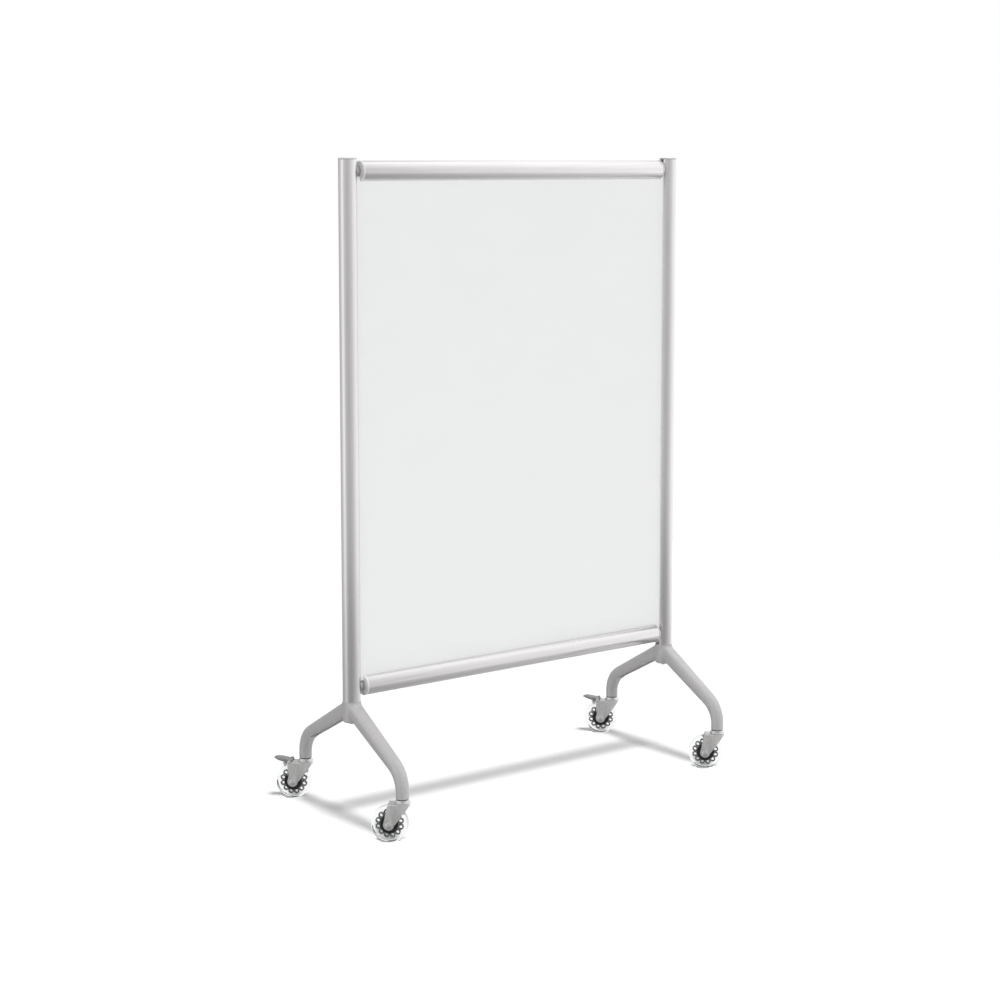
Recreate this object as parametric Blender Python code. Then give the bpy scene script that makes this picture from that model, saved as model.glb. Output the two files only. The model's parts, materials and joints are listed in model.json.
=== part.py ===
"""Rolling whiteboard: a two-sided writing panel held by two posts and two rails,
standing on two A-shaped bases with four swivel casters, the rear two with foot brakes.

Metres, +Z up. The writing panel faces -Y (front) and +Y (rear), left is -X.
Everything is modelled with the posts at y = 0 and then moved as one, so that the
object's own box stands centred on the world origin.
"""

import math

import bmesh
import bpy
from mathutils import Matrix, Vector

# ---- driving dimensions -------------------------------------------------------------
HEIGHT = 1.372              # floor to the top of the post caps
POST_SPACING = 0.860        # between the centre lines of the posts
POST_RADIUS = 0.019
RAIL_RADIUS = 0.021
TUBE_WALL = 0.002
SLOT_DEPTH = 0.010          # groove along a post or rail that holds the panel's edge
PANEL_THICK = 0.010         # both writing surfaces and the core between them
SHEET_THICK = 0.0008        # each steel writing surface
GAP = 0.0003                # clearance between pieces that touch

# heights
POST_BOTTOM = 0.2525        # seam between a post and the collar of its base
TOP_RAIL_Z = 1.345
BOTTOM_RAIL_Z = 0.281

# rail ends
END_CAP_RADIUS = 0.0215
END_CAP_THICK = 0.005
NECK_LENGTH = 0.006         # between an end cap and the post
NECK_RADIUS = 0.0105
SPIGOT_RADIUS = 0.0084
SPIGOT_LENGTH = 0.016

# post ends
POST_CAP_THICK = 0.003
POST_CAP_PLUG = 0.009
FOOT_PLUG_HEIGHT = 0.026
BOLT_RADIUS = 0.004
BOLT_HEAD_RADIUS = 0.0065
BOLT_HEAD_HEIGHT = 0.005

# bases
COLLAR_BOTTOM = 0.2075
LEG_APEX_Z = 0.2395         # where the leg centre lines meet, inside the collar
LEG_SLOPE = math.radians(29.2)
LEG_SPREAD = 0.370          # between the front and the rear caster stems
LEG_BEND = 0.058            # radius of the bend above the caster
LEG_BOTTOM = 0.0896
LEG_TOP_SIZE = (0.033, 0.031)       # width and depth at the collar
LEG_FOOT_SIZE = (0.027, 0.027)      # at the caster
LEG_SQUARENESS = (3.4, 2.0)         # superellipse power at the collar and at the caster

# casters, in a frame with +X along the trail and the stem on Z
CASTER_HEADING = math.radians(136)  # where the trail points, from +X towards +Y
TRAIL = 0.026
WHEEL_RADIUS = 0.0375
WHEEL_WIDTH = 0.024
STEM_RADIUS = 0.0055
STEM_TOP = 0.122
STEM_FLANGE = (0.009, 0.0745)       # radius and lowest point of the rivet flange
SOCKET_RADIUS = 0.009
SOCKET_FLANGE_RADIUS = 0.012
SOCKET_FLANGE_THICK = 0.0012
HEAD_RADIUS = 0.0165
HEAD_BOTTOM = 0.0804
HEAD_TOP = 0.0878
FORK_GAP = 0.027
CHEEK_THICK = 0.003
CROWN_TOP = 0.0801
CROWN_BOTTOM = 0.0773
CROWN_REAR = 0.028
FRONT_WEB = ((-0.011, -0.001), (0.001, -0.011))     # the cheek's front edge, below the crown
AXLE_BOSS = 0.011
AXLE_RADIUS = 0.004
AXLE_HEAD = (0.0065, 0.0018)        # radius and height of the riveted heads
BUSH_RADIUS = 0.006

# wheels
PETALS = 12
PETAL_RING = 0.0235         # radius on which the petals are centred
PETAL_RADIUS = 0.0064
PETAL_WIDTH = 0.018
HUB_RADIUS = 0.0165
SHOULDER_RADIUS = 0.0335

# brake pedals on the rear casters, hinged on a pin across the fork
PIN_PLACE = (0.033, 0.0800)
PIN_RADIUS = 0.002
PIN_HEAD = (0.0032, 0.0010)         # radius and height
PEDAL_EAR = 0.0045          # radius of the fork's ear round the pin
PEDAL_BARREL = 0.0041
PEDAL_LENGTH = 0.036        # from the pin to the tip
PEDAL_WIDTH = 0.030
PEDAL_SHOULDER = 0.0075     # where the tread widens, clear of the ear when pressed
PEDAL_CORNER = 0.006
BRAKE_SHOE = ((0.009, -0.0056), (0.0125, -0.0042), (0.0140, 0.0004))   # from the pin
PEDAL_TIP = ((0, -0.001), (0.0005, 0.002), (-0.002, 0.0032))           # from the tip
PEDAL_RISE = math.radians(8.5)

ROUND = 32                  # sides of the large round pieces
SMALL_ROUND = 12            # sides of pins, bolts and bores
SHARP_EDGE = math.radians(35)

SLOT_WIDTH = PANEL_THICK + 2 * GAP
POST_TOP = HEIGHT - POST_CAP_THICK - GAP
RAIL_HALF = POST_SPACING / 2 - POST_RADIUS - NECK_LENGTH - END_CAP_THICK - GAP
CAP_INNER = RAIL_HALF + GAP
CAP_OUTER = CAP_INNER + END_CAP_THICK


# ---- outlines -----------------------------------------------------------------------
def arc(centre, radius, start, end, steps):
    """Points along an arc with both ends included; angles in degrees."""
    angles = [math.radians(start + (end - start) * step / steps) for step in range(steps + 1)]
    return [(centre[0] + radius * math.cos(a), centre[1] + radius * math.sin(a)) for a in angles]


def circle(radius, sides, centre=(0.0, 0.0)):
    """Points around a circle."""
    return arc(centre, radius, 0, 360, sides)[:-1]


def rectangle(x_low, x_high, y_low, y_high):
    """The four corners of a rectangle."""
    return [(x_low, y_low), (x_high, y_low), (x_high, y_high), (x_low, y_high)]


def grooved_circle(radius, half_width, floor):
    """A circle with a groove cut into it from +X down to x = floor."""
    edge = math.degrees(math.asin(half_width / radius))
    return arc((0, 0), radius, edge, 360 - edge, ROUND - 2) + [(floor, -half_width), (floor, half_width)]


def tube_outlines(radius):
    """Outside and inside of the extruded tube, whose groove opens towards +X."""
    groove = SLOT_WIDTH / 2
    floor = radius - SLOT_DEPTH
    outside = grooved_circle(radius, groove, floor)
    inside = grooved_circle(radius - TUBE_WALL, groove + TUBE_WALL, floor - TUBE_WALL)
    return [outside, inside]


def tube_plug_outline(radius):
    """A round shape with one flat that slides into the tube behind its groove."""
    inner = radius - TUBE_WALL - GAP
    flat = radius - SLOT_DEPTH - TUBE_WALL - GAP
    edge = math.degrees(math.acos(flat / inner))
    return arc((0, 0), inner, edge, 360 - edge, 20)


def petal_outline(growth):
    """The scalloped edge of the wheel core, three points for each petal."""
    radius = PETAL_RADIUS + growth
    half_pitch = math.pi / PETALS
    half_chord = PETAL_RING * math.sin(half_pitch)
    cusp = PETAL_RING * math.cos(half_pitch) + math.sqrt(radius ** 2 - half_chord ** 2)
    bulge = math.radians(36)
    flank = Vector((PETAL_RING + radius * math.cos(bulge), radius * math.sin(bulge)))
    flank_angle = math.atan2(flank.y, flank.x)
    points = []
    for petal in range(PETALS):
        middle = (2 * petal + 1) * half_pitch
        for turn, reach in ((-half_pitch, cusp), (-flank_angle, flank.length), (flank_angle, flank.length)):
            points.append((reach * math.cos(middle + turn), reach * math.sin(middle + turn)))
    return points


# ---- solids -------------------------------------------------------------------------
def finished(bm):
    """A mesh from a bmesh, with its faces pointing out and its round faces smooth."""
    bmesh.ops.recalc_face_normals(bm, faces=bm.faces[:])
    mesh = bpy.data.meshes.new("solid")
    bm.to_mesh(mesh)
    bm.free()
    mesh.shade_smooth()
    mesh.set_sharp_from_angle(angle=SHARP_EDGE)
    return mesh


def prism(outlines, low, high):
    """A straight extrusion along Z: the first outline is the outside, the others are holes."""
    bm = bmesh.new()
    edges = []
    for outline in outlines:
        ring = [bm.verts.new((x, y, low)) for x, y in outline]
        edges += [bm.edges.new((ring[i - 1], ring[i])) for i in range(len(ring))]
    bmesh.ops.triangle_fill(bm, edges=edges, use_beauty=True)
    top = bmesh.ops.extrude_face_region(bm, geom=bm.faces[:])["geom"]
    moved = [item for item in top if isinstance(item, bmesh.types.BMVert)]
    bmesh.ops.translate(bm, verts=moved, vec=(0, 0, high - low))
    return finished(bm)


def turned(profile, sides, hollow=False):
    """A turned solid about Z from (radius, height) points; a hollow one closes on itself."""
    bm = bmesh.new()
    points = [bm.verts.new((radius, 0, height)) for radius, height in profile]
    pairs = list(zip(points, points[1:]))
    if hollow:
        pairs.append((points[-1], points[0]))
    edges = [bm.edges.new(pair) for pair in pairs]
    bmesh.ops.spin(bm, geom=points + edges, cent=(0, 0, 0), axis=(0, 0, 1), angle=math.tau, steps=sides)
    bmesh.ops.remove_doubles(bm, verts=bm.verts[:], dist=1e-6)
    return finished(bm)


def lofted(rings):
    """A solid through rings of points, closed by a flat face at each end."""
    bm = bmesh.new()
    layers = [[bm.verts.new(point) for point in ring] for ring in rings]
    count = len(layers[0])
    for lower, upper in zip(layers, layers[1:]):
        for i in range(count):
            bm.faces.new((lower[i - 1], lower[i], upper[i], upper[i - 1]))
    bm.faces.new(layers[0])
    bm.faces.new(layers[-1])
    return finished(bm)


def combined(mesh, operation, *tools):
    """The mesh after a Boolean with each tool mesh in turn."""
    body = bpy.data.objects.new("body", mesh)
    bpy.context.collection.objects.link(body)
    helpers = []
    for tool in tools:
        helper = bpy.data.objects.new("tool", tool)
        bpy.context.collection.objects.link(helper)
        cut = body.modifiers.new("cut", "BOOLEAN")
        cut.operation = operation
        cut.solver = "EXACT"
        cut.object = helper
        helpers.append(helper)
    result = bpy.data.meshes.new_from_object(body.evaluated_get(bpy.context.evaluated_depsgraph_get()))
    for helper in [body] + helpers:
        bpy.data.objects.remove(helper, do_unlink=True)
    bm = bmesh.new()
    bm.from_mesh(result)
    bmesh.ops.dissolve_degenerate(bm, edges=bm.edges[:], dist=1e-6)
    return finished(bm)


def along_y(mesh):
    """Lay a solid that was built along Z onto Y."""
    mesh.transform(Matrix.Rotation(math.radians(-90), 4, "X"))
    return mesh


def side_cut(outline, half_width):
    """A plate seen from the side: outline points are (x, z), thickness runs along Y."""
    mesh = prism([outline], -half_width, half_width)
    mesh.transform(Matrix.Rotation(math.radians(90), 4, "X"))
    return mesh


# ---- materials ----------------------------------------------------------------------
def material(name, colour, metallic, roughness):
    """A plain Principled material."""
    finish = bpy.data.materials.new(name)
    finish.use_nodes = True
    shader = finish.node_tree.nodes["Principled BSDF"]
    shader.inputs["Base Color"].default_value = (*colour, 1.0)
    shader.inputs["Metallic"].default_value = metallic
    shader.inputs["Roughness"].default_value = roughness
    finish.diffuse_color = (*colour, 1.0)
    return finish


def make_materials():
    """Every finish on the object, by the name of what it covers."""
    return {
        "frame": material("satin_aluminium", (0.62, 0.61, 0.60), 1.0, 0.32),
        "trim": material("end_cap_grey", (0.70, 0.70, 0.70), 0.0, 0.40),
        "neck": material("polished_zinc", (0.55, 0.55, 0.56), 1.0, 0.22),
        "sheet": material("white_enamelled_steel", (0.90, 0.91, 0.91), 0.0, 0.12),
        "core": material("panel_core", (0.55, 0.45, 0.33), 0.0, 0.80),
        "base": material("grey_metallic_paint", (0.38, 0.38, 0.38), 0.4, 0.38),
        "steel": material("zinc_plated_steel", (0.50, 0.50, 0.50), 1.0, 0.30),
        "nylon": material("black_nylon", (0.02, 0.02, 0.02), 0.0, 0.45),
        "tyre": material("clear_polyurethane", (0.80, 0.82, 0.82), 0.0, 0.10),
        "pedal": material("dark_pedal_steel", (0.12, 0.12, 0.13), 0.3, 0.45),
    }


def add(name, mesh, finish, parent, location=(0, 0, 0), turn=(0, 0, 0)):
    """One named sub-part in its place under its parent."""
    mesh = mesh if mesh.users == 0 else mesh.copy()
    mesh.name = name
    mesh.materials.clear()
    mesh.materials.append(finish)
    part = bpy.data.objects.new(name, mesh)
    part.location = location
    part.rotation_euler = turn
    part.parent = parent
    bpy.context.collection.objects.link(part)
    return part


def pivot(name, parent, location=(0, 0, 0), turn=(0, 0, 0)):
    """An empty that marks a frame or a joint's axis."""
    empty = bpy.data.objects.new(name, None)
    empty.empty_display_size = 0.02
    empty.location = location
    empty.rotation_euler = turn
    empty.parent = parent
    bpy.context.collection.objects.link(empty)
    return empty


# ---- frame and panel ----------------------------------------------------------------
def post_cap_mesh():
    """A flat disc with a softened rim over a plug that fits the post."""
    rim = 0.0008
    disc = turned([(0, 0), (POST_RADIUS, 0), (POST_RADIUS, POST_CAP_THICK - rim),
                   (POST_RADIUS - rim, POST_CAP_THICK), (0, POST_CAP_THICK)], ROUND)
    plug = prism([tube_plug_outline(POST_RADIUS)], -POST_CAP_PLUG, POST_CAP_THICK / 2)
    return combined(disc, "UNION", plug)


def rail_end_cap_mesh():
    """A disc with a hole for the connector and a notch that the panel passes through."""
    outline = grooved_circle(END_CAP_RADIUS, SLOT_WIDTH / 2, RAIL_RADIUS - SLOT_DEPTH)
    return prism([outline, circle(SPIGOT_RADIUS + GAP, SMALL_ROUND)], CAP_INNER, CAP_OUTER)


def connector_mesh():
    """Joins the right end of a rail to its post: spigot, neck and a tongue in the post's groove."""
    to_z = POST_SPACING / 2
    profile = [(0, RAIL_HALF - SPIGOT_LENGTH), (SPIGOT_RADIUS - 0.001, RAIL_HALF - SPIGOT_LENGTH),
               (SPIGOT_RADIUS, RAIL_HALF - SPIGOT_LENGTH + 0.001), (SPIGOT_RADIUS, CAP_OUTER + GAP),
               (NECK_RADIUS, CAP_OUTER + GAP), (NECK_RADIUS, to_z), (0, to_z)]
    body = turned(profile, 16)
    body.transform(Matrix.Rotation(math.radians(90), 4, "Y"))
    post = prism([circle(POST_RADIUS + GAP, ROUND)], -0.03, 0.03)
    post.transform(Matrix.Translation((to_z, 0, 0)))
    tongue_end = to_z - (POST_RADIUS - SLOT_DEPTH) - GAP
    half_tongue = PANEL_THICK / 2
    tongue = prism([rectangle(CAP_OUTER + 0.002, tongue_end, -half_tongue, half_tongue)],
                   -NECK_RADIUS + 0.0002, NECK_RADIUS - 0.0002)
    return combined(combined(body, "DIFFERENCE", post), "UNION", tongue)


def add_posts(root, finishes):
    """Both posts with their caps on top and their threaded plugs at the foot."""
    tube = prism(tube_outlines(POST_RADIUS), POST_BOTTOM, POST_TOP)
    cap = post_cap_mesh()
    plug = prism([tube_plug_outline(POST_RADIUS), circle(BOLT_RADIUS + GAP, SMALL_ROUND)],
                 0, FOOT_PLUG_HEIGHT)
    for side, sign in (("left", -1), ("right", 1)):
        turn = (0, 0, 0 if sign < 0 else math.pi)
        x = sign * POST_SPACING / 2
        add(side + "_post", tube, finishes["frame"], root, (x, 0, 0), turn)
        add(side + "_post_cap", cap, finishes["trim"], root, (x, 0, HEIGHT - POST_CAP_THICK), turn)
        add(side + "_post_plug", plug, finishes["steel"], root, (x, 0, POST_BOTTOM + GAP), turn)


def add_rails(root, finishes):
    """Top and bottom rail, grooves facing each other, with end caps and connectors."""
    tube = prism(tube_outlines(RAIL_RADIUS), -RAIL_HALF, RAIL_HALF)
    cap = rail_end_cap_mesh()
    connector = connector_mesh()
    for level, height, sign in (("top", TOP_RAIL_Z, 1), ("bottom", BOTTOM_RAIL_Z, -1)):
        along = (0, sign * math.pi / 2, 0)
        back = (math.pi, sign * math.pi / 2, 0)
        place = (0, 0, height)
        add(level + "_rail", tube, finishes["frame"], root, place, along)
        ends = (along, back) if sign > 0 else (back, along)
        for side, turn in zip(("right", "left"), ends):
            add(f"{level}_rail_{side}_end_cap", cap, finishes["trim"], root, place, turn)
        for side, turn in (("right", (0, 0, 0)), ("left", (0, 0, math.pi))):
            add(f"{level}_rail_{side}_connector", connector, finishes["neck"], root, place, turn)


def add_panel(root, finishes):
    """The core board and the two steel writing surfaces, all held in the grooves."""
    clearance = 0.0005
    half_width = POST_SPACING / 2 - (POST_RADIUS - SLOT_DEPTH) - clearance
    low = BOTTOM_RAIL_Z + RAIL_RADIUS - SLOT_DEPTH + clearance
    high = TOP_RAIL_Z - RAIL_RADIUS + SLOT_DEPTH - clearance
    core_half = PANEL_THICK / 2 - SHEET_THICK - GAP
    layers = (("panel_core", "core", -core_half, core_half),
              ("front_writing_surface", "sheet", -PANEL_THICK / 2, SHEET_THICK - PANEL_THICK / 2),
              ("rear_writing_surface", "sheet", PANEL_THICK / 2 - SHEET_THICK, PANEL_THICK / 2))
    for name, finish, near, far in layers:
        board = prism([rectangle(-half_width, half_width, near, far)], low, high)
        add(name, board, finishes[finish], root)


# ---- bases --------------------------------------------------------------------------
def leg_section(y, z, lean, share):
    """One ring of the leg: share runs from 0 at the collar to 1 at the caster."""
    sides = 16
    half_x = (LEG_TOP_SIZE[0] * (1 - share) + LEG_FOOT_SIZE[0] * share) / 2
    half_n = (LEG_TOP_SIZE[1] * (1 - share) + LEG_FOOT_SIZE[1] * share) / 2
    power = 2 / (LEG_SQUARENESS[0] * (1 - share) + LEG_SQUARENESS[1] * share)
    across = Vector((0, math.sin(lean), math.cos(lean)))
    ring = []
    for x, n in circle(1.0, sides):
        offset = math.copysign(abs(n) ** power, n) * half_n
        ring.append(Vector((math.copysign(abs(x) ** power, x) * half_x, y, z)) + across * offset)
    return ring


def leg_mesh():
    """One leg towards +Y: a straight slope, a round bend and a short upright foot."""
    foot_y = LEG_SPREAD / 2
    bend_y = foot_y - LEG_BEND
    start = (bend_y + LEG_BEND * math.sin(LEG_SLOPE), LEG_BEND * math.cos(LEG_SLOPE))
    bend_z = LEG_APEX_Z - start[0] * math.tan(LEG_SLOPE) - start[1]
    rings = []
    straight = 3
    for step in range(straight):
        y = 0.004 + (start[0] - 0.004) * step / straight
        rings.append(leg_section(y, LEG_APEX_Z - y * math.tan(LEG_SLOPE), LEG_SLOPE, 0.7 * step / straight))
    bends = 5
    for step in range(bends + 1):
        lean = LEG_SLOPE + (math.pi / 2 - LEG_SLOPE) * step / bends
        place = (bend_y + LEG_BEND * math.sin(lean), bend_z + LEG_BEND * math.cos(lean))
        rings.append(leg_section(*place, lean, 0.7 + 0.3 * step / bends))
    rings.append(leg_section(foot_y, LEG_BOTTOM, math.pi / 2, 1.0))
    return lofted(rings)


def base_mesh():
    """Collar and both legs as one casting, bored for the bolt and the caster sockets."""
    top = POST_BOTTOM - GAP
    soft = 0.004
    blank_top = top + 0.01
    collar = turned([(0, COLLAR_BOTTOM), (POST_RADIUS - soft, COLLAR_BOTTOM),
                     (POST_RADIUS, COLLAR_BOTTOM + soft), (POST_RADIUS, blank_top), (0, blank_top)], ROUND)
    front = leg_mesh()
    rear = front.copy()
    front.transform(Matrix.Rotation(math.pi, 4, "Z"))
    above = prism([circle(2 * POST_RADIUS, 8)], top, top + 0.03)
    bolt_hole = prism([circle(BOLT_RADIUS + GAP, SMALL_ROUND)], COLLAR_BOTTOM - 0.01, blank_top)
    bores = []
    for y in (-LEG_SPREAD / 2, LEG_SPREAD / 2):
        bore = circle(SOCKET_RADIUS + GAP, SMALL_ROUND, (0, y))
        bores.append(prism([bore], LEG_BOTTOM - 0.01, STEM_TOP + 0.003))
    casting = combined(collar, "UNION", front, rear)
    return combined(casting, "DIFFERENCE", above, bolt_hole, *bores)


def bolt_mesh():
    """The screw that pulls a post's plug down onto its base."""
    seat = COLLAR_BOTTOM - GAP
    top = POST_BOTTOM + FOOT_PLUG_HEIGHT * 0.8
    return turned([(0, seat - BOLT_HEAD_HEIGHT), (BOLT_HEAD_RADIUS - 0.001, seat - BOLT_HEAD_HEIGHT),
                   (BOLT_HEAD_RADIUS, seat - BOLT_HEAD_HEIGHT + 0.001), (BOLT_HEAD_RADIUS, seat),
                   (BOLT_RADIUS, seat), (BOLT_RADIUS, top - 0.001), (BOLT_RADIUS - 0.001, top),
                   (0, top)], SMALL_ROUND)


def add_bases(root, finishes):
    """A base and its bolt under each post."""
    casting = base_mesh()
    bolt = bolt_mesh()
    for side, sign in (("left", -1), ("right", 1)):
        place = (sign * POST_SPACING / 2, 0, 0)
        add(side + "_base", casting, finishes["base"], root, place)
        add(side + "_base_bolt", bolt, finishes["steel"], root, place)


# ---- casters ------------------------------------------------------------------------
def stem_mesh():
    """The caster's stem, riveted under the fork's crown by its flange."""
    flange_radius, flange_low = STEM_FLANGE
    flange_high = CROWN_BOTTOM - GAP
    return turned([(0, flange_low), (flange_radius, flange_low), (flange_radius, flange_high),
                   (STEM_RADIUS, flange_high), (STEM_RADIUS, STEM_TOP - 0.0015),
                   (STEM_RADIUS - 0.0015, STEM_TOP), (0, STEM_TOP)], SMALL_ROUND)


def socket_mesh():
    """The sleeve in the leg that grips the stem, with a flange under the leg."""
    bore = STEM_RADIUS + GAP
    low = LEG_BOTTOM - GAP - SOCKET_FLANGE_THICK
    high = STEM_TOP
    return turned([(bore, low), (SOCKET_FLANGE_RADIUS, low), (SOCKET_FLANGE_RADIUS, low + SOCKET_FLANGE_THICK),
                   (SOCKET_RADIUS, low + SOCKET_FLANGE_THICK), (SOCKET_RADIUS, high), (bore, high)],
                  SMALL_ROUND, hollow=True)


def swivel_head_mesh():
    """The dust cover over the swivel bearing."""
    bore = STEM_RADIUS + GAP
    soft = 0.002
    return turned([(bore, HEAD_BOTTOM), (HEAD_RADIUS, HEAD_BOTTOM), (HEAD_RADIUS, HEAD_TOP - soft),
                   (HEAD_RADIUS - soft, HEAD_TOP), (bore, HEAD_TOP)], 16, hollow=True)


def cheek_outline(braked):
    """Side view of the fork, points (x, z): crown edge, sloping front, round axle end."""
    axle = (TRAIL, WHEEL_RADIUS)
    ear = arc(PIN_PLACE, PEDAL_EAR, 0, 150, 5) if braked else []
    front = [(x, CROWN_BOTTOM + z) for x, z in FRONT_WEB]
    return (arc(axle, AXLE_BOSS, 180, 365, 8) + ear
            + [(CROWN_REAR, CROWN_TOP), (-HEAD_RADIUS, CROWN_TOP), (-HEAD_RADIUS, CROWN_BOTTOM)]
            + front)


def fork_mesh(braked):
    """Crown and both cheeks of one folded plate, with holes for the stem, axle and pedal pin."""
    half = FORK_GAP / 2 + CHEEK_THICK
    blank = side_cut(cheek_outline(braked), half)
    plan = prism([arc((0, 0), half, 90, 270, 12) + [(0.06, -half), (0.06, half)]], -0.01, 0.1)
    inner = FORK_GAP / 2
    throat = prism([rectangle(-0.05, 0.06, -inner, inner)], -0.01, CROWN_BOTTOM)
    above_throat = prism([rectangle(CROWN_REAR, 0.06, -inner, inner)], -0.01, 0.1)
    stem_hole = prism([circle(STEM_RADIUS + GAP, SMALL_ROUND)], 0.07, 0.09)
    axle_hole = side_cut(circle(AXLE_RADIUS + GAP, SMALL_ROUND, (TRAIL, WHEEL_RADIUS)), 0.03)
    cuts = [throat, above_throat, stem_hole, axle_hole]
    if braked:
        cuts.append(side_cut(circle(PIN_RADIUS + GAP, SMALL_ROUND, PIN_PLACE), 0.03))
    return combined(combined(blank, "INTERSECT", plan), "DIFFERENCE", *cuts)


def riveted_pin(radius, head_radius, head_height, sides):
    """A pin through both cheeks of the fork, headed at each end, lying along Y."""
    seat = FORK_GAP / 2 + CHEEK_THICK + GAP
    end = seat + head_height
    face = head_radius * 0.8
    profile = [(0, -end), (face, -end), (head_radius, -seat), (radius, -seat),
               (radius, seat), (head_radius, seat), (face, end), (0, end)]
    return along_y(turned(profile, sides))


def bush_mesh():
    """The bearing bush between the cheeks, which the wheel turns with."""
    half = FORK_GAP / 2 - GAP
    bore = AXLE_RADIUS + GAP
    return along_y(turned([(bore, -half), (BUSH_RADIUS, -half), (BUSH_RADIUS, half), (bore, half)],
                          SMALL_ROUND, hollow=True))


def wheel_core_mesh():
    """Hub with a ring of petals that the tyre is moulded around."""
    bore = circle(BUSH_RADIUS + GAP, SMALL_ROUND)
    petals = prism([petal_outline(0), bore], -PETAL_WIDTH / 2, PETAL_WIDTH / 2)
    hub = prism([circle(HUB_RADIUS, 18), bore], -WHEEL_WIDTH / 2, WHEEL_WIDTH / 2)
    return along_y(combined(petals, "UNION", hub))


def tyre_mesh():
    """A ring with a crowned tread whose bore follows the petals."""
    half = WHEEL_WIDTH / 2
    bore = petal_outline(GAP)
    rows = [(SHOULDER_RADIUS, half), (WHEEL_RADIUS, half - 0.0045)]
    rows += [(radius, -z) for radius, z in reversed(rows)]
    bm = bmesh.new()
    rings = [[bm.verts.new((x, y, PETAL_WIDTH / 2)) for x, y in bore]]
    for radius, z in rows:
        rims = [Vector(point).normalized() * radius for point in bore]
        rings.append([bm.verts.new((rim.x, rim.y, z)) for rim in rims])
    rings.append([bm.verts.new((x, y, -PETAL_WIDTH / 2)) for x, y in bore])
    for row in range(len(rings)):
        near, far = rings[row - 1], rings[row]
        for i in range(len(bore)):
            bm.faces.new((near[i - 1], near[i], far[i], far[i - 1]))
    return along_y(finished(bm))


def pedal_mesh():
    """A foot plate with a barrel on the pin and a shoe that presses on the tyre."""
    tip_x = PEDAL_LENGTH * math.cos(PEDAL_RISE)
    tip_z = PEDAL_LENGTH * math.sin(PEDAL_RISE)
    outline = arc((0, 0), PEDAL_BARREL, 95, 260, 6) + list(BRAKE_SHOE)
    outline += [(tip_x + x, tip_z + z) for x, z in PEDAL_TIP]
    blank = side_cut(outline, PEDAL_WIDTH / 2)
    root = FORK_GAP / 2 - 0.0005
    wide = PEDAL_WIDTH / 2
    round_x = tip_x - PEDAL_CORNER
    round_y = wide - PEDAL_CORNER
    plan = [(-0.01, -root), (PEDAL_SHOULDER, -root), (PEDAL_SHOULDER, -wide)]
    plan += arc((round_x, -round_y), PEDAL_CORNER, -90, 0, 4)
    plan += arc((round_x, round_y), PEDAL_CORNER, 0, 90, 4)
    plan += [(PEDAL_SHOULDER, wide), (PEDAL_SHOULDER, root), (-0.01, root)]
    body = combined(blank, "INTERSECT", prism([plan], -0.02, 0.03))
    return combined(body, "DIFFERENCE", side_cut(circle(PIN_RADIUS + GAP, SMALL_ROUND), 0.03))


def add_casters(root, finishes):
    """Four casters; each has its swivel on the stem and its wheel on the axle."""
    stem, socket, head = stem_mesh(), socket_mesh(), swivel_head_mesh()
    forks = {True: fork_mesh(True), False: fork_mesh(False)}
    axle = riveted_pin(AXLE_RADIUS, *AXLE_HEAD, SMALL_ROUND)
    pin = riveted_pin(PIN_RADIUS, *PIN_HEAD, 8)
    bush, core, tyre, pedal = bush_mesh(), wheel_core_mesh(), tyre_mesh(), pedal_mesh()
    for side, x in (("left", -POST_SPACING / 2), ("right", POST_SPACING / 2)):
        for end, y in (("front", -LEG_SPREAD / 2), ("rear", LEG_SPREAD / 2)):
            corner = f"{side}_{end}_"
            braked = end == "rear"
            add(corner + "caster_socket", socket, finishes["nylon"], root, (x, y, 0))
            add(corner + "caster_stem", stem, finishes["steel"], root, (x, y, 0))
            add(corner + "swivel_head", head, finishes["steel"], root, (x, y, 0))
            swivel = pivot(corner + "swivel_axis", root, (x, y, 0), (0, 0, CASTER_HEADING))
            add(corner + "fork", forks[braked], finishes["steel"], swivel)
            wheel = pivot(corner + "wheel_axis", swivel, (TRAIL, 0, WHEEL_RADIUS))
            add(corner + "axle", axle, finishes["steel"], swivel, (TRAIL, 0, WHEEL_RADIUS))
            add(corner + "wheel_bush", bush, finishes["steel"], wheel)
            add(corner + "wheel_core", core, finishes["nylon"], wheel)
            add(corner + "tyre", tyre, finishes["tyre"], wheel)
            if braked:
                place = (PIN_PLACE[0], 0, PIN_PLACE[1])
                hinge = pivot(corner + "pedal_axis", swivel, place)
                add(corner + "pedal_pin", pin, finishes["steel"], swivel, place)
                add(corner + "brake_pedal", pedal, finishes["pedal"], hinge)


# ---- assembly -----------------------------------------------------------------------
def centre_on_floor(root):
    """Move the whole object so that its box stands centred on the world origin."""
    bpy.context.view_layer.update()
    points = []
    for obj in bpy.data.objects:
        if obj.type == "MESH":
            points += [obj.matrix_world @ Vector(corner) for corner in obj.bound_box]
    middle_x = (min(p.x for p in points) + max(p.x for p in points)) / 2
    middle_y = (min(p.y for p in points) + max(p.y for p in points)) / 2
    root.location = (-middle_x, -middle_y, 0)


def main():
    for obj in list(bpy.data.objects):
        bpy.data.objects.remove(obj, do_unlink=True)
    finishes = make_materials()
    root = pivot("whiteboard_origin", None)
    add_posts(root, finishes)
    add_rails(root, finishes)
    add_panel(root, finishes)
    add_bases(root, finishes)
    add_casters(root, finishes)
    centre_on_floor(root)


main()
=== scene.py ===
import json
import math

import bmesh
import bpy
import numpy as np
from mathutils import Matrix, Vector

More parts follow.
